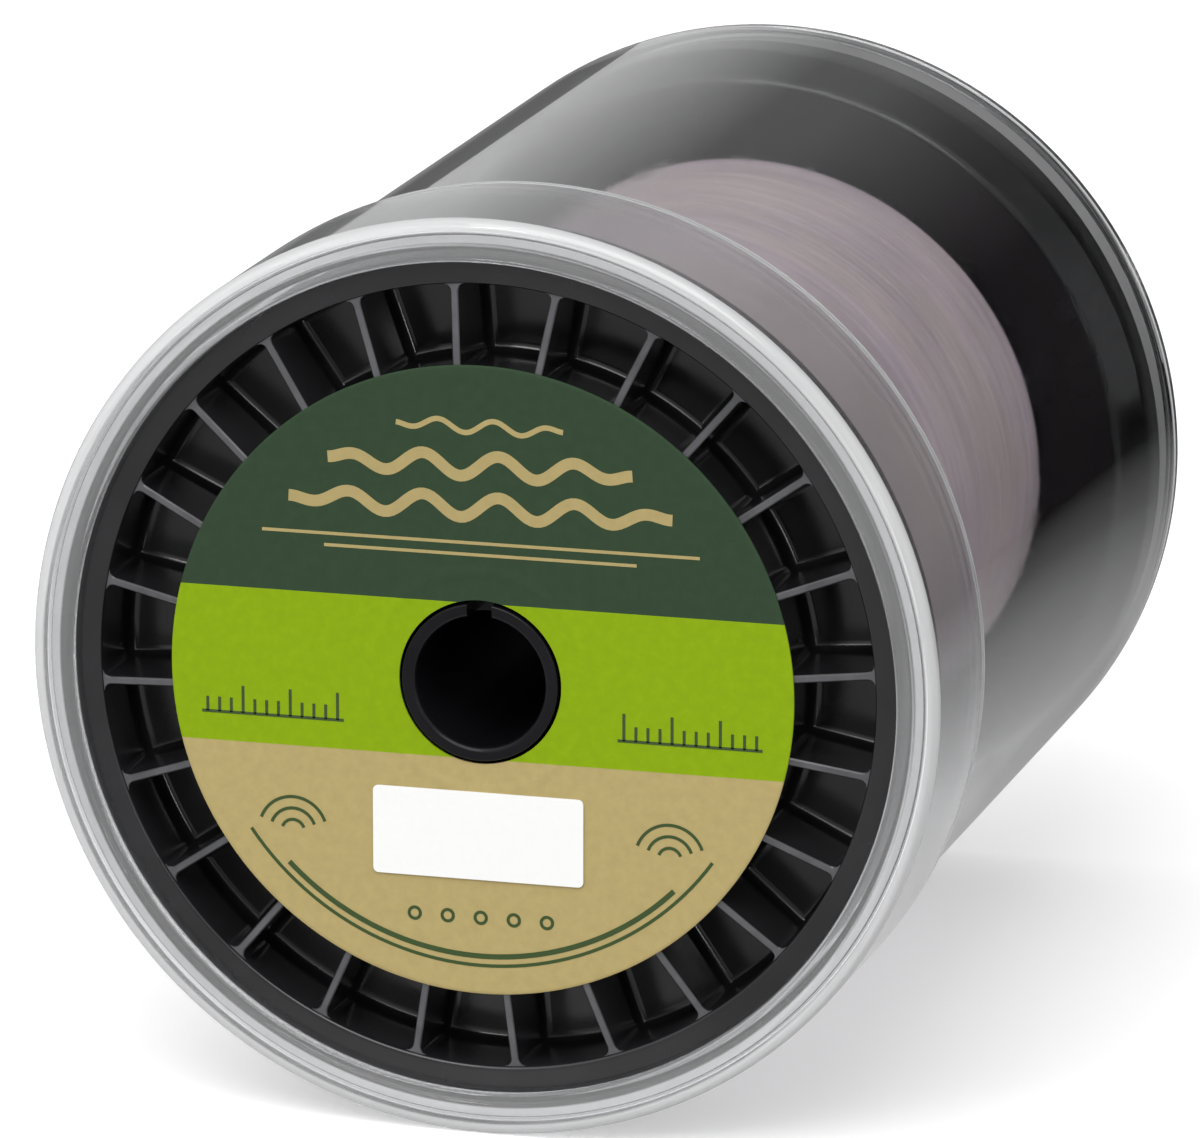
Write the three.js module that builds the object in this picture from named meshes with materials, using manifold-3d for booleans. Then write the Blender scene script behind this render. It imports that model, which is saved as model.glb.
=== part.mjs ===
// A bulk spool of fishing line lying on its side in its clear protective cover.
//
// Millimetres, +Z up. The spool's axis is the Y axis, its labelled front faces -Y, and the origin
// is the middle of the cover on that axis. The spool is two ribbed flange mouldings on a barrel and
// a hub tube, with the line wound between them. It turns freely inside a clear sleeve, and a clear
// front ring that slips over the sleeve keeps it in. The sleeve has some room behind the spool.

import * as THREE from 'three';
import { mergeVertices } from 'three/addons/utils/BufferGeometryUtils.js';
import Module from 'manifold-3d';

const wasm = await Module();
wasm.setup();

// ---- Driving dimensions ----

// Clearances
const seatGap = 0.3; // between pieces that seat on each other
const runningGap = 0.5; // round the flanges, inside the sleeve

// Flange mouldings
const flangeRadius = 40;
const flangeDepth = 10; // from the rim's outer edge to the winding
const rimWall = 2.7;
const rimLand = 5.5; // how far in from its outer edge the rim keeps its full radius
const rimTaper = 2; // how much smaller its radius is at the winding
const rimOuterRound = 0.7; // on the rim's outer edge
const rimInnerRound = 0.6; // on the rim's edge at the winding
const rimBevel = 0.3; // on the rim's inner lip
const webThickness = 1.6;
const ribCount = 24;
const ribThickness = 0.8;
const ribPhase = 4.4; // degrees from +X towards +Z, seen from the front
const ribRoot = 0.4; // how far a rib runs into the walls it joins
const seatHeight = 1; // the label seat stands this far out of the rim
const seatWall = 1.6;
const labelOverhang = 0.75; // of the label past its seat
const bossRadius = 10.5;
const spigotLength = 5; // plugs into the barrel
const spigotWall = 1.5;

// Hub tube
const boreRadius = 6.2;
const hubWall = 1.3;
const hubStandOut = 0.5; // past the label seat
const keySlotWidth = 2.4;
const keySlotDepth = 3;

// Barrel and line
const windingWidth = 80.6;
const barrelRadius = 20;
const barrelWall = 2;
const windingRadius = 30.3;
const turnCount = 18; // bands of line in the outer layer
const bandThickness = 0.7;
const bandGap = 0.55; // between neighbouring bands

// Label
const labelRadius = 29.95;
const labelThickness = 0.3;
const stickerWidth = 20.3;
const stickerHeight = 8.4;
const stickerDrop = 14.7; // from the spool's axis down to the sticker's middle
const stickerShift = -0.2;
const stickerThickness = 0.15;

// Clear cover
const sleeveWall = 1.6;
const ringWall = 1.2;
const ringDepth = 18.3; // the front ring's whole length
const rearRoom = 3.7; // between the rear flange and the sleeve's lip
const lipReach = 0.4; // how far the end lips reach in over the flange rims
const lipThickness = 1.2;
const coverRound = 1; // on the cover's outer corners
const edgeRound = 0.3; // on the cover's thin free edges

// Facets
const shellSides = 64;
const mouldSides = 48;
const tubeSides = 32;
const roundSteps = 2;
const turnSteps = 24;
const bandSides = 6;

// ---- Sizes that follow ----

const spoolLength = windingWidth + 2 * flangeDepth;
const spoolEnd = spoolLength / 2;
const windingEnd = windingWidth / 2;
const seatLevel = spoolEnd + seatHeight;
const hubEnd = seatLevel + hubStandOut;
const hubRadius = boreRadius + hubWall;
const hubHoleRadius = hubRadius + seatGap;
const barrelInnerRadius = barrelRadius - barrelWall;
const seatRadius = labelRadius - labelOverhang;
const rimInnerRadius = flangeRadius - rimWall;
const sleeveInnerRadius = flangeRadius + runningGap;
const sleeveRadius = sleeveInnerRadius + sleeveWall;
const ringInnerRadius = sleeveRadius + seatGap;
const ringRadius = ringInnerRadius + ringWall;
const lipRadius = flangeRadius - lipReach;
const lipLevel = (seatGap + spoolLength + rearRoom) / 2;
const coverEnd = lipLevel + lipThickness;
const sleeveFront = seatGap - lipLevel;
const spoolMiddle = sleeveFront + spoolEnd; // the front rim is level with the sleeve's front edge

// ---- Materials ----

const material = (color, roughness, opacity = 1) =>
  new THREE.MeshStandardMaterial({
    color,
    roughness,
    metalness: 0,
    opacity,
    transparent: opacity < 1,
  });
const blackPlastic = material(0x1b1b1d, 0.35);
const greyPlastic = material(0x2a2a2c, 0.45);
const line = material(0xa09298, 0.5);
const greenPaper = material(0x6f9a1c, 0.6);
const whitePaper = material(0xf6f6f4, 0.7);
const clearPlastic = material(0xdfe4e8, 0.1, 0.3);

// ---- Helpers ----

/** A closed geometry, as a solid that can be joined and cut. */
function toSolid(geometry) {
  const bare = geometry.clone();
  bare.deleteAttribute('normal');
  bare.deleteAttribute('uv');
  const merged = mergeVertices(bare);
  const vertProperties = merged.attributes.position.array;
  const triVerts = merged.index.array;
  return new wasm.Manifold(new wasm.Mesh({ numProp: 3, vertProperties, triVerts }));
}

/** A solid, as a geometry for a mesh. */
function toGeometry(solid) {
  const mesh = solid.getMesh();
  const geometry = new THREE.BufferGeometry();
  geometry.setAttribute('position', new THREE.BufferAttribute(mesh.vertProperties, 3));
  geometry.setIndex(new THREE.BufferAttribute(mesh.triVerts, 1));
  geometry.computeVertexNormals();
  return geometry;
}

/** A ring turned about Y. The profile's [radius, y] points go anticlockwise, and it closes itself. */
function turned(profile, sides) {
  const points = [...profile, profile[0]].map(([radius, y]) => new THREE.Vector2(radius, y));
  return new THREE.LatheGeometry(points, sides);
}

/** The points of a quarter round about a centre, from one angle to another, in degrees. */
function quarterRound(centreRadius, centreY, round, fromAngle, toAngle) {
  return Array.from({ length: roundSteps + 1 }, (_, step) => {
    const angle = THREE.MathUtils.degToRad(fromAngle + ((toAngle - fromAngle) * step) / roundSteps);
    return [centreRadius + round * Math.cos(angle), centreY + round * Math.sin(angle)];
  });
}

/** A plain tube about Y between two levels. */
function plainTube(innerRadius, outerRadius, lowY, highY, sides) {
  const profile = [
    [innerRadius, lowY],
    [outerRadius, lowY],
    [outerRadius, highY],
    [innerRadius, highY],
  ];
  return turned(profile, sides);
}

// ---- Flanges ----
// A flange is drawn with its rim's outer edge at y = 0 and the winding towards +Y.

/** The flange without its ribs: boss, label seat, rim, web, and the spigot that holds the barrel. */
function flangeProfile() {
  const webLevel = flangeDepth - webThickness;
  const backRadius = flangeRadius - rimTaper;
  const spigotRadius = barrelInnerRadius - seatGap;
  const spigotEnd = flangeDepth + spigotLength;
  return [
    [hubHoleRadius, -seatHeight],
    [bossRadius, -seatHeight],
    [bossRadius, webLevel],
    [seatRadius - seatWall, webLevel],
    [seatRadius - seatWall, -seatHeight],
    [seatRadius, -seatHeight],
    [seatRadius, webLevel],
    [rimInnerRadius, webLevel],
    [rimInnerRadius, rimBevel],
    [rimInnerRadius + rimBevel, 0],
    ...quarterRound(flangeRadius - rimOuterRound, rimOuterRound, rimOuterRound, -90, 0),
    [flangeRadius, rimLand],
    ...quarterRound(backRadius - rimInnerRound, flangeDepth - rimInnerRound, rimInnerRound, 0, 90),
    [spigotRadius, flangeDepth],
    [spigotRadius, spigotEnd],
    [spigotRadius - spigotWall, spigotEnd],
    [spigotRadius - spigotWall, flangeDepth],
    [hubHoleRadius, flangeDepth],
  ];
}

/** One radial rib, from the boss through the label seat to the rim. */
function flangeRib() {
  const innerEnd = bossRadius - ribRoot;
  const outerEnd = rimInnerRadius + ribRoot;
  const backLevel = flangeDepth - webThickness + ribRoot;
  const outline = new THREE.Shape();
  outline.moveTo(innerEnd, -seatHeight);
  outline.lineTo(seatRadius, -seatHeight);
  outline.lineTo(rimInnerRadius, rimBevel);
  outline.lineTo(outerEnd, rimBevel);
  outline.lineTo(outerEnd, backLevel);
  outline.lineTo(innerEnd, backLevel);
  const rib = new THREE.ExtrudeGeometry(outline, { depth: ribThickness, bevelEnabled: false });
  return rib.translate(0, 0, -ribThickness / 2);
}

function flangeGeometry() {
  let flange = toSolid(turned(flangeProfile(), mouldSides));
  for (let index = 0; index < ribCount; index += 1) {
    const angle = THREE.MathUtils.degToRad(ribPhase) + (index * 2 * Math.PI) / ribCount;
    flange = flange.add(toSolid(flangeRib().rotateY(-angle)));
  }
  return toGeometry(flange);
}

// ---- Hub tube and barrel ----

/** The tube that the spool turns on, with a key slot across the top of each end. */
function hubTubeGeometry() {
  let tube = toSolid(plainTube(boreRadius, hubRadius, -hubEnd, hubEnd, tubeSides));
  for (const end of [-1, 1]) {
    const slot = new THREE.BoxGeometry(keySlotWidth, 2 * keySlotDepth, hubRadius);
    tube = tube.subtract(toSolid(slot.translate(0, end * hubEnd, hubRadius)));
  }
  return toGeometry(tube);
}

function barrelGeometry() {
  const end = windingEnd - seatGap;
  return plainTube(barrelInnerRadius, barrelRadius, -end, end, mouldSides);
}

// ---- Line ----

const turnPitch = (windingWidth - 2 * seatGap) / (turnCount + 1);
const bandWidth = turnPitch - bandGap;
const bandRadius = windingRadius - bandThickness / 2;

/** The wound line under its outer layer, clear of the flats of the bands that lie on it. */
function lineCoreGeometry() {
  const flatRadius = (windingRadius - bandThickness) * Math.cos(Math.PI / turnSteps);
  const end = windingEnd - seatGap;
  return plainTube(barrelRadius + seatGap, flatRadius - seatGap, -end, end, mouldSides);
}

/** The middle of the band after so many steps of its helix, as [point, outward direction]. */
function bandStation(step) {
  const angle = (2 * Math.PI * step) / turnSteps;
  const outward = new THREE.Vector3(Math.cos(angle), 0, Math.sin(angle));
  const y = turnPitch * (step / turnSteps - turnCount / 2);
  return [outward.clone().multiplyScalar(bandRadius).setY(y), outward];
}

/** All sections of the outer layer: the helix, and a straight stretch at each of its ends. */
function bandSections() {
  const lastStep = turnCount * turnSteps;
  const stations = Array.from({ length: lastStep + 1 }, (_, step) => bandStation(step));
  const straightEnd = (endStation, neighbour) => {
    const [point, outward] = endStation;
    const along = point.clone().sub(neighbour[0]).setLength(bandThickness);
    return [point.clone().add(along), outward];
  };
  const first = straightEnd(stations[0], stations[1]);
  const last = straightEnd(stations[lastStep], stations[lastStep - 1]);
  return [first, ...stations, last].map(([point, outward]) => {
    const corners = [];
    for (let side = 0; side < bandSides; side += 1) {
      const turn = (2 * Math.PI * side) / bandSides;
      const across = (bandWidth / 2) * Math.cos(turn);
      const up = ((bandThickness / 2) * Math.sin(turn)) / Math.sin(Math.PI / 3);
      corners.push(point.clone().addScaledVector(outward, up).add(new THREE.Vector3(0, across, 0)));
    }
    return corners;
  });
}

/** The least distance between a band's corners and those of the turns beside it. */
function leastSelfGap(sections) {
  let least = Infinity;
  for (let index = 0; index + turnSteps < sections.length; index += 1) {
    const steps = [turnSteps - 1, turnSteps, turnSteps + 1];
    const beside = steps.flatMap((step) => sections[index + step] ?? []);
    for (const corner of sections[index]) {
      for (const other of beside) {
        least = Math.min(least, corner.distanceTo(other));
      }
    }
  }
  return least;
}

/** The outer layer of line: one unbroken flat band, six-sided, wound from flange to flange. */
function lineTurnsGeometry() {
  const sections = bandSections();
  console.log(`line_turns: least gap to itself ${leastSelfGap(sections).toFixed(2)} mm`);
  const indices = [];
  const corner = (section, side) => section * bandSides + (side % bandSides);
  for (let section = 0; section + 1 < sections.length; section += 1) {
    for (let side = 0; side < bandSides; side += 1) {
      const here = corner(section, side);
      const beside = corner(section, side + 1);
      const ahead = corner(section + 1, side);
      const across = corner(section + 1, side + 1);
      indices.push(here, across, beside, here, ahead, across);
    }
  }
  const lastSection = sections.length - 1;
  for (let side = 1; side + 1 < bandSides; side += 1) {
    indices.push(corner(0, 0), corner(0, side), corner(0, side + 1));
    indices.push(corner(lastSection, 0), corner(lastSection, side + 1), corner(lastSection, side));
  }
  const geometry = new THREE.BufferGeometry().setFromPoints(sections.flat());
  geometry.setIndex(indices);
  geometry.computeVertexNormals();
  return geometry;
}

// ---- Label ----

function labelGeometry() {
  const back = -seatLevel;
  return plainTube(hubHoleRadius, labelRadius, back - labelThickness, back, mouldSides);
}

function stickerGeometry() {
  const back = -seatLevel - labelThickness;
  const sticker = new THREE.BoxGeometry(stickerWidth, stickerThickness, stickerHeight);
  return sticker.translate(stickerShift, back - stickerThickness / 2, -stickerDrop);
}

// ---- Clear cover ----

/** The sleeve: a tube open at the front, with a lip turned in behind the rear flange. */
function sleeveGeometry() {
  const profile = [
    [sleeveInnerRadius, sleeveFront],
    ...quarterRound(sleeveRadius - edgeRound, sleeveFront + edgeRound, edgeRound, -90, 0),
    ...quarterRound(sleeveRadius - coverRound, coverEnd - coverRound, coverRound, 0, 90),
    [lipRadius, coverEnd],
    [lipRadius, lipLevel],
    [sleeveInnerRadius, lipLevel],
  ];
  return turned(profile, shellSides);
}

/** The front ring: a skirt over the sleeve's front end, with a lip in front of the front flange. */
function frontRingGeometry() {
  const skirtEnd = ringDepth - coverEnd;
  const profile = [
    [lipRadius, -coverEnd],
    ...quarterRound(ringRadius - coverRound, -coverEnd + coverRound, coverRound, -90, 0),
    ...quarterRound(ringRadius - edgeRound, skirtEnd - edgeRound, edgeRound, 0, 90),
    [ringInnerRadius, skirtEnd],
    [ringInnerRadius, -lipLevel],
    [lipRadius, -lipLevel],
  ];
  return turned(profile, shellSides);
}

// ---- Assembly ----

function addPiece(group, name, geometry, pieceMaterial) {
  const mesh = new THREE.Mesh(geometry, pieceMaterial);
  mesh.name = name;
  group.add(mesh);
  return mesh;
}

const spool = new THREE.Group();
spool.position.y = spoolMiddle;
const frontFlange = addPiece(spool, 'front_flange', flangeGeometry(), blackPlastic);
frontFlange.position.y = -spoolEnd;
const rearFlange = addPiece(spool, 'rear_flange', flangeGeometry(), blackPlastic);
rearFlange.position.y = spoolEnd;
rearFlange.rotation.z = Math.PI;
addPiece(spool, 'hub_tube', hubTubeGeometry(), blackPlastic);
addPiece(spool, 'barrel', barrelGeometry(), greyPlastic);
addPiece(spool, 'line_core', lineCoreGeometry(), line);
addPiece(spool, 'line_turns', lineTurnsGeometry(), line);
addPiece(spool, 'front_label', labelGeometry(), greenPaper);
addPiece(spool, 'size_sticker', stickerGeometry(), whitePaper);

const cover = new THREE.Group();
addPiece(cover, 'cover_sleeve', sleeveGeometry(), clearPlastic);
addPiece(cover, 'cover_front_ring', frontRingGeometry(), clearPlastic);

const lineSpool = new THREE.Group();
lineSpool.add(spool, cover);

export default lineSpool;
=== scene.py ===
"""A bulk spool of fishing line in its clear protective cover, lying on its side on a pale floor.

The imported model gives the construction. This script gives the looks: smooth mouldings with
softened edges, the wound strand of line, the printed label and the clear cover.
The spool's axis is Y, its labelled front faces -Y, and +Z is up. Lengths are in metres.
"""

import math
import random

import bpy
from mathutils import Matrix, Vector


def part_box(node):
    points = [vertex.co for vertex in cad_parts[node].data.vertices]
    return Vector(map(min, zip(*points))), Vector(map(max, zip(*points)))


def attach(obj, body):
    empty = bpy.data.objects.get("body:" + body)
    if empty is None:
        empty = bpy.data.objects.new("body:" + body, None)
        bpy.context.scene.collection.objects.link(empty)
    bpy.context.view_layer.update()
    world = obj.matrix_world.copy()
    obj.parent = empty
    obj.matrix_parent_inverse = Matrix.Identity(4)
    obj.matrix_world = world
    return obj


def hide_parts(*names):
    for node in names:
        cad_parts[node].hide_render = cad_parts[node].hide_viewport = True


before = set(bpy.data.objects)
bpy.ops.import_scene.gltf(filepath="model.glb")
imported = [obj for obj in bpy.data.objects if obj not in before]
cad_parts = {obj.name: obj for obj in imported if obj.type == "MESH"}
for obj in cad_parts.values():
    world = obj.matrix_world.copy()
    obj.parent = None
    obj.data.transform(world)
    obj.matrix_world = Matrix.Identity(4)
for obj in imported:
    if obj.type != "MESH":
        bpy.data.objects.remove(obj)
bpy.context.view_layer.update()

MM = 0.001

# ---- Sizes: from the frame's boxes, and those that the boxes don't give ----

FLANGE_LOW, FLANGE_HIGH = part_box("front_flange")
REAR_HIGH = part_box("rear_flange")[1]
LABEL_LOW, LABEL_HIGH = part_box("front_label")
STICKER_LOW, STICKER_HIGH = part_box("size_sticker")
HUB_LOW, HUB_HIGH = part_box("hub_tube")
BARREL_LOW, BARREL_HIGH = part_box("barrel")
CORE_LOW, CORE_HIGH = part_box("line_core")
SLEEVE_LOW, SLEEVE_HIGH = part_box("cover_sleeve")
RING_LOW, RING_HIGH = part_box("cover_front_ring")

FLANGE_RADIUS = FLANGE_HIGH.x
HUB_RADIUS = HUB_HIGH.x
LABEL_RADIUS = LABEL_HIGH.x
BARREL_RADIUS = BARREL_HIGH.x
SLEEVE_RADIUS = SLEEVE_HIGH.x
RING_RADIUS = RING_HIGH.x
FLOOR_LEVEL = RING_LOW.z

SEAT_GAP = 0.3 * MM
FLANGE_DEPTH = 10 * MM
SEAT_HEIGHT = 1 * MM
RIM_WALL = 2.7 * MM
RIM_LAND = 5.5 * MM
RIM_TAPER = 2 * MM
WEB_THICKNESS = 1.6 * MM
SEAT_WALL = 1.6 * MM
LABEL_OVERHANG = 0.75 * MM
BOSS_RADIUS = 10.5 * MM
BORE_RADIUS = 6.2 * MM
SPIGOT_LENGTH = 5 * MM
SPIGOT_WALL = 1.5 * MM
RIB_COUNT = 24
RIB_THICKNESS = 0.75 * MM
RIB_PHASE = math.radians(4.4)
KEY_SLOT_WIDTH = 2.4 * MM
KEY_SLOT_DEPTH = 3 * MM
BARREL_WALL = 2 * MM
WINDING_RADIUS = 30.3 * MM
SLEEVE_WALL = 1.6 * MM
RING_WALL = 1.2 * MM
LIP_REACH = 0.4 * MM
LIP_THICKNESS = 1.2 * MM

SPOOL_FRONT = FLANGE_LOW.y + SEAT_HEIGHT
SPOOL_REAR = REAR_HIGH.y - SEAT_HEIGHT
RIM_INNER_RADIUS = FLANGE_RADIUS - RIM_WALL
SEAT_RADIUS = LABEL_RADIUS - LABEL_OVERHANG
SEAT_INNER_RADIUS = SEAT_RADIUS - SEAT_WALL
HUB_HOLE_RADIUS = HUB_RADIUS + SEAT_GAP
LIP_RADIUS = FLANGE_RADIUS - LIP_REACH

TURNED_SIDES = 192
SHARP_ANGLE = math.radians(32)
NEARLY = 0.01 * MM  # two places this close count as the same


# ---- Camera: the photograph's, found from the circles of the spool ----

CAMERA_AZIMUTH = math.radians(15.92)
CAMERA_ELEVATION = math.radians(14.08)
CAMERA_DISTANCE = 910.2 * MM
AIM_RIGHT = 10.73 * MM  # from the middle of the front rim to the middle of the picture
AIM_UP = 10.17 * MM
LENS = 295.5
SENSOR_WIDTH = 36


def make_camera():
    """The camera stands level, so that it looks along its azimuth and down by its elevation."""
    back = Vector((
        math.sin(CAMERA_AZIMUTH) * math.cos(CAMERA_ELEVATION),
        -math.cos(CAMERA_AZIMUTH) * math.cos(CAMERA_ELEVATION),
        math.sin(CAMERA_ELEVATION),
    ))
    right = Vector((0, 0, 1)).cross(back).normalized()
    up = back.cross(right)
    data = bpy.data.cameras.new("camera")
    data.lens = LENS
    data.sensor_width = SENSOR_WIDTH
    data.clip_start = 0.05
    data.clip_end = 20
    camera = bpy.data.objects.new("camera", data)
    front = Vector((0, SPOOL_FRONT, 0))
    camera.location = front + back * CAMERA_DISTANCE + right * AIM_RIGHT + up * AIM_UP
    camera.rotation_mode = "QUATERNION"
    camera.rotation_quaternion = (-back).to_track_quat("-Z", "Y")
    bpy.context.scene.collection.objects.link(camera)
    bpy.context.scene.camera = camera


# ---- Node helpers ----


def add_node(tree, kind, **settings):
    """A node with its settings. Inputs are given by name, with _ for a space."""
    node = tree.nodes.new(kind)
    for key, value in settings.items():
        if hasattr(node, key):
            setattr(node, key, value)
        else:
            node.inputs[key.replace("_", " ")].default_value = value
    return node


def set_input(tree, socket, value):
    """Sets a plain number or colour on an input, or links an output to it."""
    if isinstance(value, (int, float)):
        socket.default_value = value
    elif isinstance(value, tuple):
        socket.default_value = (*value, 1)
    else:
        tree.links.new(value, socket)


def own_place(tree):
    """The outputs X, Y and Z of a point's place in the object's own coordinates."""
    place = tree.nodes.new("ShaderNodeTexCoord")
    split = tree.nodes.new("ShaderNodeSeparateXYZ")
    tree.links.new(place.outputs["Object"], split.inputs["Vector"])
    return split.outputs


def noise(tree, scale, detail, roughness, stretch=(1, 1, 1)):
    """Noise over the object's own coordinates, in metres, stretched along its axes."""
    place = tree.nodes.new("ShaderNodeTexCoord")
    mapping = add_node(tree, "ShaderNodeMapping", Scale=stretch)
    texture = add_node(tree, "ShaderNodeTexNoise", Scale=scale, Detail=detail, Roughness=roughness)
    tree.links.new(place.outputs["Object"], mapping.inputs["Vector"])
    tree.links.new(mapping.outputs["Vector"], texture.inputs["Vector"])
    return texture.outputs["Fac"]


def remap(tree, value, reach, amounts=(0, 1)):
    """A value mapped from its reach to a first and a last amount, and held there past its reach."""
    node = add_node(
        tree, "ShaderNodeMapRange",
        From_Min=reach[0], From_Max=reach[1], To_Min=amounts[0], To_Max=amounts[1],
    )
    tree.links.new(value, node.inputs["Value"])
    return node.outputs["Result"]


def combined(tree, operation, first, second):
    """Two values put together by an operation, each a number or an output."""
    node = add_node(tree, "ShaderNodeMath", operation=operation)
    set_input(tree, node.inputs[0], first)
    set_input(tree, node.inputs[1], second)
    return node.outputs["Value"]


def summed(tree, value, ramps):
    """The sum of several ramps over one value, each with its reach and its two amounts."""
    total = 0
    for reach, amounts in ramps:
        total = combined(tree, "ADD", total, remap(tree, value, reach, amounts))
    return total


def mix_colours(tree, factor, first, second, blend="MIX"):
    """A mix of two colours, each a plain colour or an output."""
    node = add_node(tree, "ShaderNodeMix", data_type="RGBA", blend_type=blend)
    set_input(tree, node.inputs["Factor"], factor)
    set_input(tree, node.inputs["A"], first)
    set_input(tree, node.inputs["B"], second)
    return node.outputs["Result"]


def ray_is(tree, *kinds):
    """1 for rays of any of these kinds, and 0 for others."""
    path = tree.nodes.new("ShaderNodeLightPath")
    total = 0
    for kind in kinds:
        total = combined(tree, "MAXIMUM", total, path.outputs[kind])
    return total


def add_bump(tree, shader, height, strength, distance):
    """Makes the surface rise and fall with a height, by up to a distance."""
    bump = add_node(tree, "ShaderNodeBump", Strength=strength, Distance=distance)
    tree.links.new(height, bump.inputs["Height"])
    tree.links.new(bump.outputs["Normal"], shader.inputs["Normal"])


def mesh_wear_and_highlight(tree):
    """The wear and painted highlight that add_mesh wrote on each vertex."""
    return add_node(tree, "ShaderNodeAttribute", attribute_name="wear_and_highlight").outputs["Fac"]


# ---- Materials ----

# The grey of a painted highlight on the ribs' front edges
RIB_EDGE_HIGHLIGHT_GREY = (0.1, 0.1, 0.108)
CLEAR = (0.965, 0.972, 0.98)
LAVENDER = (0.99, 0.95, 1.0)
BROWNISH = (1.0, 0.97, 0.93)
DARK_GREEN = (0.033, 0.059, 0.032)
LIME = (0.226, 0.35, 0.007)
TAN = (0.42, 0.335, 0.145)


def new_material(name, base, roughness, **inputs):
    """A Principled material, its node tree and its shader, which holds the constant inputs."""
    material = bpy.data.materials.new(name)
    material.use_nodes = True
    shader = material.node_tree.nodes["Principled BSDF"]
    shader.inputs["Base Color"].default_value = (*base, 1)
    shader.inputs["Roughness"].default_value = roughness
    for key, value in inputs.items():
        shader.inputs[key.replace("_", " ")].default_value = value
    return material, material.node_tree, shader


def scaled(colour, factor):
    """A colour made lighter or darker by a factor."""
    return tuple(min(1, channel * factor) for channel in colour)


def moulded_black(name, base, roughness, ior, stretch=(1, 1, 1)):
    """Black moulded plastic: faint flow in its colour and gloss, a painted highlight in grey on
    marked edges, and a fine grain.
    """
    material, tree, shader = new_material(name, base, roughness, IOR=ior)
    flow = noise(tree, scale=90, detail=5, roughness=0.6, stretch=stretch)
    colour = mix_colours(tree, remap(tree, flow, (0.35, 0.75)), base, scaled(base, 1.9))
    patches = noise(tree, scale=300, detail=4, roughness=0.6)
    patchy = remap(tree, patches, (0.3, 0.7), (0.55, 1))
    # Painted highlight: the marked edges, the ribs' front edges, are mixed unevenly towards grey
    edge_highlight = combined(tree, "MULTIPLY", mesh_wear_and_highlight(tree), patchy)
    tree.links.new(mix_colours(tree, edge_highlight, colour, RIB_EDGE_HIGHLIGHT_GREY), shader.inputs["Base Color"])
    gloss = remap(tree, flow, (0.3, 0.7), (roughness - 0.06, roughness + 0.08))
    tree.links.new(gloss, shader.inputs["Roughness"])
    grain = noise(tree, scale=2600, detail=3, roughness=0.6)
    add_bump(tree, shader, grain, strength=0.12, distance=0.02 * MM)
    return material


def clear_plastic(name, gloss, waviness):
    """Clear moulded plastic with faint scuffs and a slight waviness, whitish where it is worn."""
    material, tree, shader = new_material(name, CLEAR, gloss[0], IOR=1.5)
    scuffs = noise(tree, scale=240, detail=6, roughness=0.65, stretch=(1, 0.25, 1))
    tree.links.new(remap(tree, scuffs, (0.55, 0.85), gloss), shader.inputs["Roughness"])
    waves = noise(tree, scale=30, detail=1, roughness=0.4, stretch=(1, 0.2, 1))
    add_bump(tree, shader, waves, strength=waviness, distance=0.05 * MM)
    clarity = remap(tree, mesh_wear_and_highlight(tree), (0, 1), (1, 0))
    tree.links.new(clarity, shader.inputs["Transmission Weight"])
    return material


def line_material(name, base):
    """Fine synthetic line: a silky strand whose shade drifts from turn to turn and along it."""
    material, tree, shader = new_material(name, base, 0.42, IOR=1.45)
    lighter = scaled(base, 1.22)
    turns = noise(tree, scale=60, detail=6, roughness=0.7, stretch=(1, 22, 1))
    shade = mix_colours(tree, remap(tree, turns, (0.3, 0.7)), scaled(base, 0.72), lighter)
    patches = noise(tree, scale=85, detail=4, roughness=0.6)
    tone = mix_colours(tree, remap(tree, patches, (0.4, 0.65), (0, 0.35)), shade, lighter)
    tints = noise(tree, scale=45, detail=3, roughness=0.6, stretch=(1, 3, 1))
    tint = mix_colours(tree, remap(tree, tints, (0.42, 0.58)), LAVENDER, BROWNISH)
    tree.links.new(mix_colours(tree, 1, tone, tint, "MULTIPLY"), shader.inputs["Base Color"])
    gloss = remap(tree, patches, (0.3, 0.7), (0.36, 0.5))
    tree.links.new(gloss, shader.inputs["Roughness"])
    return material


def printed_paper(name, top_colour, lower_bands):
    """The label's paper: flat bands of colour, each below a level, with a faint grain."""
    material, tree, shader = new_material(name, (1, 1, 1), 0.5, IOR=1.45, Specular_IOR_Level=0.06)
    height = own_place(tree)["Z"]
    colour = top_colour
    for level, band_colour in lower_bands:
        below = combined(tree, "LESS_THAN", height, level)
        colour = mix_colours(tree, below, colour, band_colour)
    fibres = noise(tree, scale=900, detail=5, roughness=0.6)
    uneven = tree.nodes.new("ShaderNodeHueSaturation")
    tree.links.new(colour, uneven.inputs["Color"])
    tree.links.new(remap(tree, fibres, (0.3, 0.7), (0.94, 1.05)), uneven.inputs["Value"])
    tree.links.new(uneven.outputs["Color"], shader.inputs["Base Color"])
    gloss = remap(tree, fibres, (0.3, 0.7), (0.36, 0.5))
    tree.links.new(gloss, shader.inputs["Roughness"])
    add_bump(tree, shader, fibres, strength=0.1, distance=0.02 * MM)
    return material


def plain_paper(name, base):
    """Unprinted paper with a faint grain."""
    material, tree, shader = new_material(name, base, 0.55, IOR=1.45)
    fibres = noise(tree, scale=1400, detail=5, roughness=0.65)
    colour = mix_colours(tree, fibres, scaled(base, 0.95), base)
    tree.links.new(colour, shader.inputs["Base Color"])
    add_bump(tree, shader, fibres, strength=0.15, distance=0.02 * MM)
    return material


def ink(name, base):
    """Printing ink on the label, slightly uneven."""
    material, tree, shader = new_material(name, base, 0.5, IOR=1.45, Specular_IOR_Level=0.15)
    uneven = noise(tree, scale=1100, detail=4, roughness=0.6)
    colour = mix_colours(tree, uneven, scaled(base, 0.82), base)
    tree.links.new(colour, shader.inputs["Base Color"])
    return material


# ---- Mesh helpers ----


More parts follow.
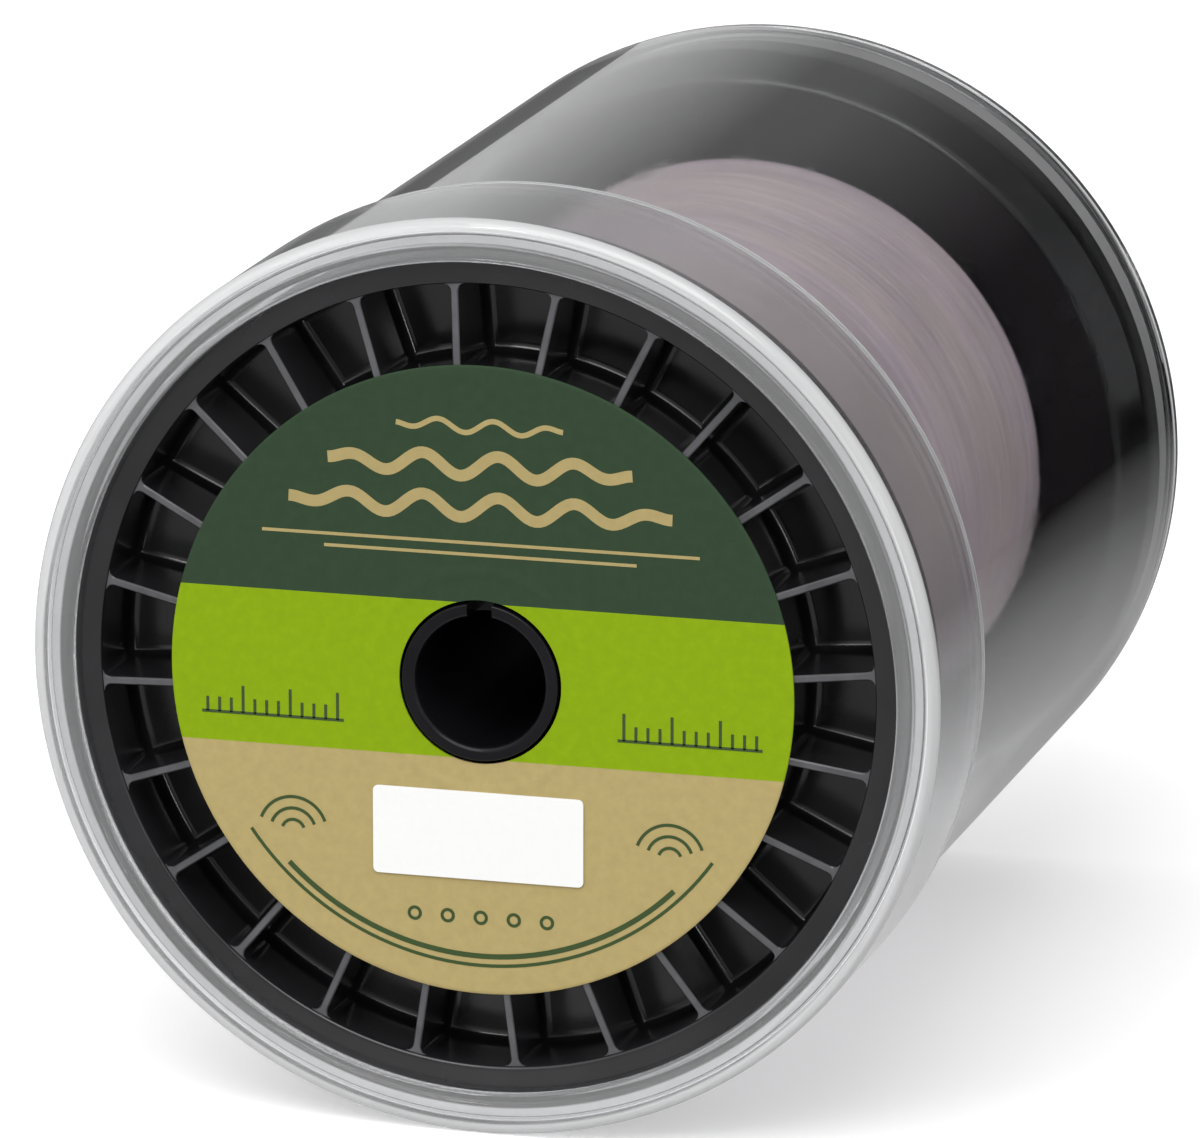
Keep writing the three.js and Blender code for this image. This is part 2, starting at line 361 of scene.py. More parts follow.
def add_mesh(name, vertices, faces, material, body, wear_and_highlight=None):
    """A smooth-shaded piece with sharp creases, riding on a body. Wear and painted highlight are
    given for each vertex.
    """
    mesh = bpy.data.meshes.new(name)
    mesh.from_pydata(vertices, [], faces)
    if wear_and_highlight:
        mesh.attributes.new("wear_and_highlight", "FLOAT", "POINT").data.foreach_set("value", wear_and_highlight)
    mesh.validate()
    mesh.shade_smooth()
    mesh.set_sharp_from_angle(angle=SHARP_ANGLE)
    mesh.materials.append(material)
    piece = bpy.data.objects.new(name, mesh)
    bpy.context.scene.collection.objects.link(piece)
    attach(piece, body)
    return piece


def rounded(corners, steps=4):
    """A closed outline from (radius, y, round) corners: each corner is an arc of that round."""
    outline = []
    count = len(corners)
    for index, (radius, y, round_) in enumerate(corners):
        here = Vector((radius, y))
        before = (Vector(corners[index - 1][:2]) - here).normalized()
        after = (Vector(corners[(index + 1) % count][:2]) - here).normalized()
        half = before.angle(after) / 2
        reach = round_ / math.tan(half)
        centre = here + (before + after).normalized() * (round_ / math.sin(half))
        start = here + before * reach - centre
        end = here + after * reach - centre
        angle = start.angle_signed(end)
        for step in range(steps + 1):
            turn = -angle * step / steps
            cosine, sine = math.cos(turn), math.sin(turn)
            outline.append((
                centre.x + start.x * cosine - start.y * sine,
                centre.y + start.x * sine + start.y * cosine,
            ))
    return outline


def tube_outline(inner, outer, low, high, inner_edge, outer_edge):
    """The outline of a plain tube between two places on the axis, its edges rounded."""
    return rounded([
        (inner, low, inner_edge),
        (outer, low, outer_edge),
        (outer, high, outer_edge),
        (inner, high, inner_edge),
    ])


def supported(outline, reach=0.25 * MM):
    """The outline with a point close to each end of its long runs, which then shade as straight."""
    result = []
    for index, point in enumerate(outline):
        here, ahead = Vector(point), Vector(outline[(index + 1) % len(outline)])
        result.append(point)
        if (ahead - here).length > 3 * reach:
            along = (ahead - here).normalized() * reach
            result += [tuple(here + along), tuple(ahead - along)]
    return result


def turned(outline):
    """Vertices and faces of a closed outline of (radius, y) points turned about Y."""
    outline = supported(outline)
    vertices = []
    faces = []
    count = len(outline)
    for side in range(TURNED_SIDES):
        angle = 2 * math.pi * side / TURNED_SIDES
        for radius, y in outline:
            vertices.append((radius * math.cos(angle), y, radius * math.sin(angle)))
        here = side * count
        ahead = ((side + 1) % TURNED_SIDES) * count
        for point in range(count):
            beside = (point + 1) % count
            faces.append((here + point, here + beside, ahead + beside, ahead + point))
    return vertices, faces


def lofted(sections):
    """Vertices and faces of a solid through sections of as many points each."""
    vertices = [point for section in sections for point in section]
    count = len(sections[0])
    last = (len(sections) - 1) * count
    faces = []
    for here in range(0, last, count):
        ahead = here + count
        for point in range(count):
            beside = (point + 1) % count
            faces.append((here + point, here + beside, ahead + beside, ahead + point))
    faces.append(tuple(reversed(range(count))))
    faces.append(tuple(range(last, last + count)))
    return vertices, faces


def joined(parts):
    """Several (vertices, faces) as one."""
    vertices, faces = [], []
    for part_vertices, part_faces in parts:
        offset = len(vertices)
        vertices += part_vertices
        faces += [tuple(index + offset for index in face) for face in part_faces]
    return vertices, faces


# ---- Flanges ----
# A flange is drawn with its rim's outer edge at y = 0 and the winding towards +Y.

WEB_FACE = FLANGE_DEPTH - WEB_THICKNESS
WEB_FILLET = 0.9 * MM
FILLET_STEPS = 5
RIB_FLARE = 0.75 * MM  # the fillet between a rib and a wall
RIB_DRAFT = 0.1 * MM
RIB_BEVEL = 0.14 * MM
RIB_SUNK = 0.4 * MM  # into the web
RIB_DROP = 0.3 * MM  # of its front edge below the rim's
RIB_WALLS = (BOSS_RADIUS, SEAT_INNER_RADIUS, SEAT_RADIUS, RIM_INNER_RADIUS)
RIB_ENDS = (BOSS_RADIUS - 0.3 * MM, RIM_INNER_RADIUS + 0.4 * MM)
NEAR_WALL = [step * MM for step in (0, 0.1, 0.2, 0.32, 0.48, 0.75)]


def flange_outline():
    """The outline of a flange without its ribs, with its moulded edges rounded."""
    spigot = BARREL_RADIUS - BARREL_WALL - SEAT_GAP
    spigot_end = FLANGE_DEPTH + SPIGOT_LENGTH
    edge, spigot_root, spigot_edge = 0.18 * MM, 0.2 * MM, 0.3 * MM
    rim_lip, rim_edge, land_edge, taper_edge = 0.35 * MM, 0.6 * MM, 1.2 * MM, 0.9 * MM
    return rounded([
        (HUB_HOLE_RADIUS, -SEAT_HEIGHT, edge),
        (BOSS_RADIUS, -SEAT_HEIGHT, edge),
        (BOSS_RADIUS, WEB_FACE, WEB_FILLET),
        (SEAT_INNER_RADIUS, WEB_FACE, WEB_FILLET),
        (SEAT_INNER_RADIUS, -SEAT_HEIGHT, edge),
        (SEAT_RADIUS, -SEAT_HEIGHT, edge),
        (SEAT_RADIUS, WEB_FACE, WEB_FILLET),
        (RIM_INNER_RADIUS, WEB_FACE, WEB_FILLET),
        (RIM_INNER_RADIUS, 0, rim_lip),
        (FLANGE_RADIUS, 0, rim_edge),
        (FLANGE_RADIUS, RIM_LAND, land_edge),
        (FLANGE_RADIUS - RIM_TAPER, FLANGE_DEPTH, taper_edge),
        (spigot, FLANGE_DEPTH, spigot_root),
        (spigot, spigot_end, spigot_edge),
        (spigot - SPIGOT_WALL, spigot_end, spigot_edge),
        (spigot - SPIGOT_WALL, FLANGE_DEPTH, spigot_root),
        (HUB_HOLE_RADIUS, FLANGE_DEPTH, edge),
    ])


def rib_half_thickness(radius):
    """Half a rib's thickness: it flares in a small fillet at each wall that it meets."""
    away = min(abs(radius - wall) for wall in RIB_WALLS)
    if away >= RIB_FLARE:
        return RIB_THICKNESS / 2
    return RIB_THICKNESS / 2 + RIB_FLARE - math.sqrt(RIB_FLARE**2 - (RIB_FLARE - away) ** 2)


def rib_root():
    """(y, flare) points of a rib's fillet at the web, from inside the web forwards."""
    points = [(WEB_FACE + RIB_SUNK, RIB_DRAFT + WEB_FILLET)]
    for step in range(FILLET_STEPS + 1):
        angle = math.pi / 2 * (1 - step / FILLET_STEPS)
        y = WEB_FACE - WEB_FILLET * (1 - math.sin(angle))
        points.append((y, RIB_DRAFT + WEB_FILLET * (1 - math.cos(angle))))
    return points


def rib_stops():
    """The radii of a rib's sections, which lie closer together near each wall."""
    stops = [RIB_ENDS[0]]
    stops += [BOSS_RADIUS + away for away in NEAR_WALL]
    stops += [SEAT_INNER_RADIUS - away for away in reversed(NEAR_WALL)]
    stops += [SEAT_RADIUS + away for away in NEAR_WALL]
    stops += [RIM_INNER_RADIUS - away for away in reversed(NEAR_WALL)]
    return stops + [RIB_ENDS[1]]


def rib_sections():
    """Sections of a rib along the radius: (radius, y, across) loops that flare at the web."""
    sections = []
    for radius in rib_stops():
        half = rib_half_thickness(radius)
        along = min(1, max(0, (radius - SEAT_RADIUS) / (RIM_INNER_RADIUS - SEAT_RADIUS)))
        front = -SEAT_HEIGHT + (SEAT_HEIGHT + RIB_DROP) * along
        right = [(radius, y, half + flare) for y, flare in rib_root()]
        right += [(radius, front + RIB_BEVEL, half), (radius, front, half - RIB_BEVEL)]
        left = [(radius, y, -across) for _, y, across in reversed(right)]
        sections.append(right + left)
    return sections


def placed_rib(angle):
    """One rib turned to its angle from +X towards +Z."""
    cosine, sine = math.cos(angle), math.sin(angle)
    sections = [
        [(radius * cosine - across * sine, y, radius * sine + across * cosine)
         for radius, y, across in section]
        for section in rib_sections()
    ]
    return lofted(sections)


def rib_edge_highlight():
    """How much painted highlight each point of a rib gets: its front edge gets it, outside the
    label seat.
    """
    wear_and_highlight = []
    for section in rib_sections():
        front = min(y for _, y, _ in section)
        edge_highlight = section[0][0] > SEAT_RADIUS
        # painted highlight on the rib's front edge, outside the label seat
        wear_and_highlight += [1.0 if edge_highlight and y < front + NEARLY else 0.0 for _, y, _ in section]
    return wear_and_highlight


def flange_mesh():
    """The moulding's vertices, faces, and the painted highlight on its ribs' front edges."""
    parts = [turned(flange_outline())]
    wear_and_highlight = [0.0] * len(parts[0][0])
    for index in range(RIB_COUNT):
        parts.append(placed_rib(RIB_PHASE + 2 * math.pi * index / RIB_COUNT))
        # the ribs' front edges carry a painted highlight
        wear_and_highlight += rib_edge_highlight()
    return *joined(parts), wear_and_highlight


def make_flanges(material):
    """The two flanges, which are the same moulding: the rear one is turned round."""
    vertices, faces, wear_and_highlight = flange_mesh()
    front = [(x, SPOOL_FRONT + y, z) for x, y, z in vertices]
    rear = [(-x, SPOOL_REAR - y, z) for x, y, z in vertices]
    for node, points in (("front_flange", front), ("rear_flange", rear)):
        name = node + "_moulding"
        piece = add_mesh(name, points, faces, material, "spool", wear_and_highlight)
        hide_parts(node)


# ---- Hub tube and barrel ----

BORE_EDGE = 0.55 * MM
HUB_EDGE = 0.2 * MM
BARREL_EDGE = 0.3 * MM


def cut_key_slot(tube, end):
    """Cuts a slot through the top of the tube's wall at one of its ends."""
    half = KEY_SLOT_WIDTH / 2
    low, high = HUB_RADIUS / 2, HUB_RADIUS * 1.2
    square = ((-half, low), (half, low), (half, high), (-half, high))
    ends = (end + KEY_SLOT_DEPTH, end - KEY_SLOT_DEPTH)
    vertices, faces = lofted([[(x, y, z) for x, z in square] for y in ends])
    mesh = bpy.data.meshes.new("key_slot")
    mesh.from_pydata(vertices, [], faces)
    cutter = bpy.data.objects.new("key_slot", mesh)
    bpy.context.scene.collection.objects.link(cutter)
    boolean = tube.modifiers.new("key_slot", "BOOLEAN")
    boolean.operation = "DIFFERENCE"
    boolean.solver = "EXACT"
    boolean.object = cutter
    bpy.context.view_layer.objects.active = tube
    bpy.ops.object.modifier_apply(modifier=boolean.name)
    bpy.data.objects.remove(cutter)


def make_hub_tube(material):
    """The tube with softened ends, and a key slot at the top of each end."""
    outline = tube_outline(BORE_RADIUS, HUB_RADIUS, HUB_LOW.y, HUB_HIGH.y, BORE_EDGE, HUB_EDGE)
    vertices, faces = turned(outline)
    tube = add_mesh("hub_tube_moulding", vertices, faces, material, "spool")
    for end in (HUB_LOW.y, HUB_HIGH.y):
        cut_key_slot(tube, end)
    tube.data.set_sharp_from_angle(angle=SHARP_ANGLE)
    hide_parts("hub_tube")


def make_barrel(material):
    """The drum that the line is wound on."""
    inner = BARREL_RADIUS - BARREL_WALL
    low, high = BARREL_LOW.y, BARREL_HIGH.y
    outline = tube_outline(inner, BARREL_RADIUS, low, high, BARREL_EDGE, BARREL_EDGE)
    vertices, faces = turned(outline)
    barrel = add_mesh("barrel_tube", vertices, faces, material, "spool")
    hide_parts("barrel")


# ---- Line ----

STRAND_DIAMETER = 0.46 * MM
STRAND_PITCH = 0.47 * MM
STRAND_STEPS = 120  # in a turn
STRAND_SIDES = 6
STRAND_WANDER = 0.04 * MM  # along the spool, either way
STRAND_SINK = 0.05 * MM  # towards the axis
STRAND_SEED = 11
LAYERS_BELOW = 0.8 * STRAND_DIAMETER  # below the top of the outer layer
LAYERS_EDGE = 0.2 * MM


def make_under_layers(material):
    """The layers of line under the outer one, as one body."""
    inner, outer = BARREL_RADIUS + SEAT_GAP, WINDING_RADIUS - LAYERS_BELOW
    outline = tube_outline(inner, outer, CORE_LOW.y, CORE_HIGH.y, LAYERS_EDGE, LAYERS_EDGE)
    vertices, faces = turned(outline)
    under = add_mesh("line_under_layers", vertices, faces, material, "spool")
    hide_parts("line_core")


def strand_section(angle, radius, y):
    """A loop of points round the strand's middle, at an angle about the axis."""
    half = STRAND_DIAMETER / 2
    section = []
    for side in range(STRAND_SIDES):
        around = 2 * math.pi * side / STRAND_SIDES
        out = radius + half * math.sin(around)
        along = y + half * math.cos(around)
        section.append((out * math.cos(angle), along, out * math.sin(angle)))
    return section


def strand_sections():
    """Sections of the outer layer's strand, whose turns wander and sink a little."""
    half = STRAND_DIAMETER / 2
    first, last = CORE_LOW.y + half, CORE_HIGH.y - half
    turns = int((last - first) / STRAND_PITCH)
    draw = random.Random(STRAND_SEED)
    wander = [draw.uniform(-STRAND_WANDER, STRAND_WANDER) for _ in range(turns + 2)]
    lift = [draw.uniform(-STRAND_SINK, 0) for _ in range(turns + 2)]
    sections = []
    for step in range(turns * STRAND_STEPS + 1):
        turn = step // STRAND_STEPS
        part = step % STRAND_STEPS / STRAND_STEPS
        aside = wander[turn] * (1 - part) + wander[turn + 1] * part
        raised = lift[turn] * (1 - part) + lift[turn + 1] * part
        y = first + (turn + part) * STRAND_PITCH + aside
        sections.append(strand_section(2 * math.pi * part, WINDING_RADIUS - half + raised, y))
    return sections


def make_strand(material):
    """The outer layer of line: one strand wound side by side."""
    vertices, faces = lofted(strand_sections())
    outward = [face[::-1] for face in faces]
    strand = add_mesh("line_outer_strand", vertices, outward, material, "spool")
    strand.data.set_sharp_from_angle(angle=math.pi)
    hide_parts("line_turns")


# ---- Label ----

BAND_UPPER = 7.5 * MM
BAND_LOWER = -7.35 * MM
PRESS_HEIGHT = 0.06 * MM  # of a faint circle in the paper, over the edge of the boss
PRESS_RISE = (BOSS_RADIUS - 0.7 * MM, BOSS_RADIUS - 0.25 * MM)
PRESS_FALL = (BOSS_RADIUS + 0.15 * MM, BOSS_RADIUS + 0.6 * MM)
PAPER_EDGE = (0.1 * MM, 0.06 * MM)  # how far the bevel goes in and back
PRINT_BACK = LABEL_LOW.y + 0.07 * MM
PRINT_FACE = LABEL_LOW.y + 0.03 * MM

WAVES = (  # level, half of its reach, height, length of one wave, width of the stroke
    (24.2 * MM, 8 * MM, 0.6 * MM, 5.4 * MM, 0.5 * MM),
    (20.5 * MM, 14.6 * MM, 1.0 * MM, 7.3 * MM, 1.1 * MM),
    (16.6 * MM, 18.4 * MM, 1.0 * MM, 7.3 * MM, 1.1 * MM),
)
RULES = (  # level, half of its length
    (13.2 * MM, 21 * MM),
    (12.1 * MM, 15 * MM),
)
FINE_WIDTH = 0.3 * MM  # of the rules, the ripples and the small circles
GAUGE_LEVEL = -4.6 * MM
GAUGE_REACH = (13.2 * MM, 27 * MM)
GAUGE_WIDTH = 0.28 * MM
FIRST_TICK = 13.8 * MM
TICK_STEP = 1.15 * MM
TICK_COUNT = 12
LONG_TICK = 2.6 * MM
SHORT_TICK = 1.4 * MM
LONG_TICK_EVERY = 4
RIPPLE_CENTRE = (18.2 * MM, -15.6 * MM)
RIPPLE_RADII = (1.1 * MM, 2.2 * MM, 3.3 * MM)
RIPPLE_ANGLES = (20, 160)
BORDERS = (  # radius, first and last angle, width of the stroke
    (27.2 * MM, 215, 325, 0.32 * MM),
    (26.3 * MM, 225, 315, 0.5 * MM),
)
CIRCLE_LEVEL = -22.6 * MM
CIRCLE_STEP = 3.2 * MM
CIRCLE_RADIUS = 0.55 * MM
CIRCLES_EACH_SIDE = 2


def make_label(material):
    """The paper disc with its hub hole, pressed up in a faint circle over the edge of the boss."""
    back, face = LABEL_HIGH.y, LABEL_LOW.y
    flat = face + PRESS_HEIGHT
    bevel_in, bevel_back = PAPER_EDGE
    outline = [
        (HUB_HOLE_RADIUS, flat),
        (PRESS_RISE[0], flat),
        (PRESS_RISE[1], face),
        (PRESS_FALL[0], face),
        (PRESS_FALL[1], flat),
        (LABEL_RADIUS - bevel_in, flat),
        (LABEL_RADIUS, flat + bevel_back),
        (LABEL_RADIUS, back),
        (HUB_HOLE_RADIUS, back),
    ]
    vertices, faces = turned(outline)
    label = add_mesh("front_label_paper", vertices, faces, material, "spool")
    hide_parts("front_label")


def stroke(points, width):
    """A thin printed stroke along (x, z) points on the label's face."""
    sections = []
    for index, (x, z) in enumerate(points):
        before = Vector(points[max(index - 1, 0)])
        after = Vector(points[min(index + 1, len(points) - 1)])
        across = (after - before).orthogonal().normalized() * width / 2
        sections.append([
            (x + across.x, PRINT_BACK, z + across.y),
            (x - across.x, PRINT_BACK, z - across.y),
            (x - across.x, PRINT_FACE, z - across.y),
            (x + across.x, PRINT_FACE, z + across.y),
        ])
    return lofted(sections)


def arc(centre, radius, start, end, steps=48):
    """(x, z) points on an arc, its angles in degrees from +X towards +Z."""
    points = []
    for step in range(steps + 1):
        angle = math.radians(start + (end - start) * step / steps)
        points.append((centre[0] + radius * math.cos(angle), centre[1] + radius * math.sin(angle)))
    return points


def wave(level, half_reach, height, length, steps=96):
    """(x, z) points of a wave that flattens towards its ends."""
    points = []
    for step in range(steps + 1):
        x = half_reach * (2 * step / steps - 1)
        swell = height * (1 - (x / half_reach) ** 4)
        points.append((x, level + swell * math.sin(2 * math.pi * x / length)))
    return points


def gauge(side):
    """Strokes of a plain gauge without numbers, to the right (1) or left (-1) of the hub."""
    start, end = GAUGE_REACH
    strokes = [stroke([(side * start, GAUGE_LEVEL), (side * end, GAUGE_LEVEL)], GAUGE_WIDTH)]
    for tick in range(TICK_COUNT):
        x = side * (FIRST_TICK + TICK_STEP * tick)
        top = GAUGE_LEVEL + (SHORT_TICK if tick % LONG_TICK_EVERY else LONG_TICK)
        strokes.append(stroke([(x, GAUGE_LEVEL), (x, top)], GAUGE_WIDTH))
    return strokes


def ripples(side):
    """Strokes of three arcs round one middle, in the lower band at one side."""
    centre = (side * RIPPLE_CENTRE[0], RIPPLE_CENTRE[1])
    return [stroke(arc(centre, radius, *RIPPLE_ANGLES, 24), FINE_WIDTH) for radius in RIPPLE_RADII]


def pale_strokes():
    """The rolling waves, over two rules."""
    strokes = [stroke(wave(*sizes), width) for *sizes, width in WAVES]
    for level, half in RULES:
        strokes.append(stroke([(-half, level), (half, level)], FINE_WIDTH))
    return strokes


def dark_strokes():
    """The gauges and ripples of both sides, and the border arcs and small circles below."""
    strokes = gauge(-1) + ripples(-1) + gauge(1) + ripples(1)
    for radius, start, end, width in BORDERS:
        strokes.append(stroke(arc((0, 0), radius, start, end), width))
    for index in range(-CIRCLES_EACH_SIDE, CIRCLES_EACH_SIDE + 1):
        centre = (index * CIRCLE_STEP, CIRCLE_LEVEL)
        strokes.append(stroke(arc(centre, CIRCLE_RADIUS, 0, 360, 20), FINE_WIDTH))
    return strokes


def make_print(name, strokes, material):
    """One ink's part of a generic design without lettering."""
    vertices, faces = joined(strokes)
    add_mesh(name, vertices, faces, material, "spool")


def make_sticker(material):
    """The blank white sticker, with rounded corners."""
    corner, steps = 0.5 * MM, 5
    low, high = STICKER_LOW, STICKER_HIGH
    outline = []
    for x, z, start in (
        (high.x - corner, high.z - corner, 0),
        (low.x + corner, high.z - corner, 90),
        (low.x + corner, low.z + corner, 180),
        (high.x - corner, low.z + corner, 270),
    ):
        outline += arc((x, z), corner, start, start + 90, steps)
    vertices, faces = lofted([[(x, y, z) for x, z in outline] for y in (high.y, low.y)])
    sticker = add_mesh("size_sticker_paper", vertices, faces, material, "spool")
    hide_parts("size_sticker")


# ---- Clear cover ----

COVER_CORNER = 1.0 * MM
LIP_EDGE = 0.3 * MM
COVER_STEPS = 6  # in the arc of each corner
CUT_EDGE_WEAR = 0.85
CORNER_WEAR = 0.5
LIP_WEAR = 0.12
SKIRT_WEAR = 0.03
CUT_EDGE_DEPTH = 0.4 * MM
CORNER_DEPTH = 1.15 * MM


def make_sleeve(material):
    """The long sleeve: its front end is open, and its rear end has a lip."""
    inner = SLEEVE_RADIUS - SLEEVE_WALL
    front, rear = SLEEVE_LOW.y, SLEEVE_HIGH.y
    inner_edge, outer_edge, lip_root = 0.8 * MM, 0.2 * MM, 0.4 * MM
    outline = rounded([
        (inner, front, inner_edge),
        (SLEEVE_RADIUS, front, outer_edge),
        (SLEEVE_RADIUS, rear, COVER_CORNER),
        (LIP_RADIUS, rear, LIP_EDGE),
        (LIP_RADIUS, rear - LIP_THICKNESS, LIP_EDGE),
        (inner, rear - LIP_THICKNESS, lip_root),
    ], COVER_STEPS)
    vertices, faces = turned(outline)
    wear_and_highlight = [CUT_EDGE_WEAR if y < front + NEARLY else 0.0 for _, y, _ in vertices]
    name = "cover_sleeve_shell"
    sleeve = add_mesh(name, vertices, faces, material, "cover", wear_and_highlight)
    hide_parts("cover_sleeve")


def ring_wear(radius, y):
    """How whitish the ring is: most at its rear edge, less at its front corner, least between."""
    if y > RING_HIGH.y - CUT_EDGE_DEPTH:
        return CUT_EDGE_WEAR
    if y < RING_LOW.y + CORNER_DEPTH:
        return CORNER_WEAR if radius > RING_RADIUS - RING_WALL else LIP_WEAR
    return SKIRT_WEAR


def make_front_ring(material):
    """The ring over the sleeve's front end: a skirt, and a lip in front of the flange's rim."""
    inner = RING_RADIUS - RING_WALL
    front, rear = RING_LOW.y, RING_HIGH.y
    edge, lip_root = 0.35 * MM, 0.25 * MM
    outline = rounded([
        (LIP_RADIUS, front, LIP_EDGE),
        (RING_RADIUS, front, COVER_CORNER),
        (RING_RADIUS, rear, edge),
        (inner, rear, edge),
        (inner, front + LIP_THICKNESS, lip_root),
        (LIP_RADIUS, front + LIP_THICKNESS, LIP_EDGE),
    ], COVER_STEPS)
    vertices, faces = turned(outline)
    wear_and_highlight = [ring_wear(math.hypot(x, z), y) for x, y, z in vertices]
    name = "cover_front_ring_shell"
    ring = add_mesh(name, vertices, faces, material, "front_ring", wear_and_highlight)
    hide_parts("cover_front_ring")


# ---- Floor and light ----

WORLD_PARTS = (  # direction, where it starts and is full along that, strength
    ((0, -0.5, 0.87), (0.5, 0.9), 1.02),
    ((1, 0, 0), (0.25, -0.05), 0.18),
    ((1, 0, 0), (-0.15, -0.4), 0.5),
    ((1, 0, 0), (0.5, 0.85), 1.0),
)
FLOOR_DIMS = (  # between which Y the painted shade on the mirrored floor changes, from what to what
    ((-0.1, -0.06), (0.35, 0)),
    ((-0.01, 0.06), (0.2, 0.48)),
    ((0.1, 0.35), (0, 0.25)),
    ((0.35, 0.7), (0, 0.15)),
)
RIGHT_DIMS = (  # the same, for the right side alone
    ((0.04, 0.1), (0, 0.2)),
    ((0.1, 0.2), (0, 0.12)),
)
RIGHT_SIDE = (-0.04, 0.03)  # between which X it begins
FLOOR_PALE = (0.57, 0.8)  # to other rays, and to the camera's own
FLOOR_GLOW = (0.66, 0.4)  # to mirrored rays, and to the camera's own
GLOW_COLOUR = (0.99, 0.985, 1, 1)
FLOOR_REACH = 4
LAMPS = (  # name, place, size, power in watts
    ("key_lamp", (0.05, -0.65, 0.75), (0.7, 0.7), 5.2),
    ("right_sparkle", (0.45, -0.85, 0.12), (0.1, 0.1), 0.3),
    ("upper_sparkle", (-0.23, -0.83, 0.5), (0.1, 0.1), 0.3),
)


def floor_dimming(tree):
    """How much painted shade darkens the mirrored floor at each place."""
    place = own_place(tree)
    dimming = summed(tree, place["Y"], FLOOR_DIMS)
    rightness = remap(tree, place["X"], RIGHT_SIDE)
    at_right = combined(tree, "MULTIPLY", summed(tree, place["Y"], RIGHT_DIMS), rightness)
    return combined(tree, "ADD", dimming, at_right)


def floor_material():
    """A pale floor: nearly white to the camera, and darkened by painted shade where the spool
    mirrors it.
    """
    material = bpy.data.materials.new("floor")
    material.use_nodes = True
    tree = material.node_tree
    tree.nodes.clear()
    seen = ray_is(tree, "Is Camera Ray")
    mirrored = ray_is(tree, "Is Glossy Ray", "Is Transmission Ray")
    pale = tree.nodes.new("ShaderNodeBsdfDiffuse")
    tree.links.new(remap(tree, seen, (0, 1), FLOOR_PALE), pale.inputs["Color"])
    glow = add_node(tree, "ShaderNodeEmission", Color=GLOW_COLOUR)
    glowing = combined(tree, "MAXIMUM", seen, mirrored)
    strength = combined(tree, "MULTIPLY", glowing, remap(tree, seen, (0, 1), FLOOR_GLOW))
    tree.links.new(strength, glow.inputs["Strength"])
    bright = tree.nodes.new("ShaderNodeAddShader")
    tree.links.new(pale.outputs["BSDF"], bright.inputs[0])
    tree.links.new(glow.outputs["Emission"], bright.inputs[1])
    dark = add_node(tree, "ShaderNodeEmission", Strength=0.0)
    mixed = tree.nodes.new("ShaderNodeMixShader")
    # painted shade on the floor as the spool's reflections see it
    dim = combined(tree, "MULTIPLY", floor_dimming(tree), mirrored)
    tree.links.new(dim, mixed.inputs["Fac"])
    tree.links.new(bright.outputs["Shader"], mixed.inputs[1])
    tree.links.new(dark.outputs["Emission"], mixed.inputs[2])
    output = tree.nodes.new("ShaderNodeOutputMaterial")
    tree.links.new(mixed.outputs["Shader"], output.inputs["Surface"])
    return material


def make_floor():
    """The wide floor that the cover lies on, which keeps its shadow."""
    corners = ((-1, -1), (1, -1), (1, 1), (-1, 1))
    points = [(x * FLOOR_REACH, y * FLOOR_REACH, FLOOR_LEVEL) for x, y in corners]
    mesh = bpy.data.meshes.new("floor")
    mesh.from_pydata(points, [], [(0, 1, 2, 3)])
    mesh.materials.append(floor_material())
    floor = bpy.data.objects.new("floor", mesh)
    bpy.context.scene.collection.objects.link(floor)


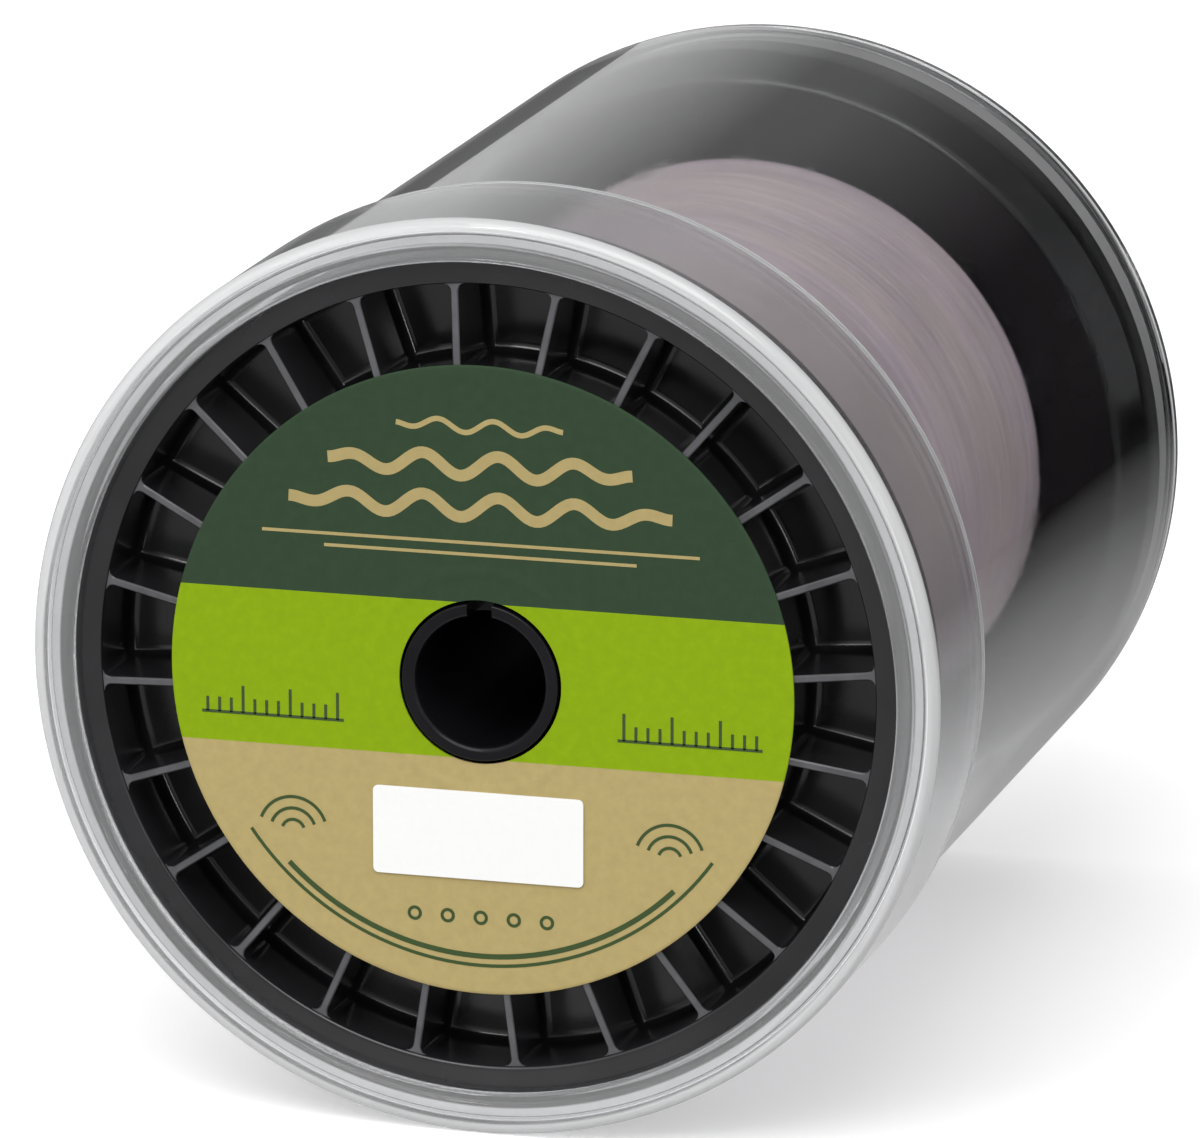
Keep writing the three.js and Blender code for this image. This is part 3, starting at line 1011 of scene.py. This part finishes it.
def make_world():
    """A studio: bright overhead and at both sides, dim between them, and white to the camera."""
    world = bpy.data.worlds.new("studio")
    bpy.context.scene.world = world
    world.use_nodes = True
    tree = world.node_tree
    background = tree.nodes["Background"]
    background.inputs["Color"].default_value = (1, 1, 1, 1)
    place = tree.nodes.new("ShaderNodeTexCoord")
    total = 0
    for direction, reach, amount in WORLD_PARTS:
        along = add_node(tree, "ShaderNodeVectorMath", operation="DOT_PRODUCT")
        tree.links.new(place.outputs["Generated"], along.inputs[0])
        along.inputs[1].default_value = direction
        part = remap(tree, along.outputs["Value"], reach, (0, amount))
        total = combined(tree, "ADD", total, part)
    mixed = tree.nodes.new("ShaderNodeMix")
    set_input(tree, mixed.inputs["Factor"], ray_is(tree, "Is Camera Ray"))
    set_input(tree, mixed.inputs["A"], total)
    set_input(tree, mixed.inputs["B"], 1)
    tree.links.new(mixed.outputs["Result"], background.inputs["Strength"])


def add_lamp(name, place, size, power):
    """A soft rectangular lamp aimed at the middle of the spool."""
    data = bpy.data.lights.new(name, "AREA")
    data.shape = "RECTANGLE"
    data.size, data.size_y = size
    data.energy = power
    lamp = bpy.data.objects.new(name, data)
    lamp.location = place
    lamp.rotation_mode = "QUATERNION"
    lamp.rotation_quaternion = (-Vector(place)).to_track_quat("-Z", "Y")
    bpy.context.scene.collection.objects.link(lamp)


# ---- Making ----

make_camera()

flange_black = moulded_black("black_moulded_plastic", (0.009, 0.009, 0.010), 0.17, 1.5)
hub_black = moulded_black("black_tube_plastic", (0.004, 0.004, 0.005), 0.2, 1.27, (1, 0.1, 1))
barrel_black = moulded_black("barrel_plastic", (0.02, 0.02, 0.02), 0.5, 1.5)
line = line_material("mauve_grey_line", (0.75, 0.66, 0.685))
bands = ((BAND_UPPER, LIME), (BAND_LOWER, TAN))
label_paper = printed_paper("label_print", DARK_GREEN, bands)
sticker_paper = plain_paper("white_paper", (0.87, 0.87, 0.86))
pale_ink = ink("tan_ink", TAN)
dark_ink = ink("green_ink", (0.05, 0.085, 0.03))
sleeve_clear = clear_plastic("clear_sleeve_plastic", (0.02, 0.1), 0.05)
ring_clear = clear_plastic("clear_ring_plastic", (0.05, 0.12), 0.02)

make_flanges(flange_black)
make_hub_tube(hub_black)
make_barrel(barrel_black)
make_under_layers(line)
make_strand(line)
make_label(label_paper)
make_print("label_pale_print", pale_strokes(), pale_ink)
make_print("label_dark_print", dark_strokes(), dark_ink)
make_sticker(sticker_paper)
make_sleeve(sleeve_clear)
make_front_ring(ring_clear)
make_floor()
make_world()
for lamp in LAMPS:
    add_lamp(*lamp)

scene = bpy.context.scene
scene.view_settings.view_transform = "Standard"
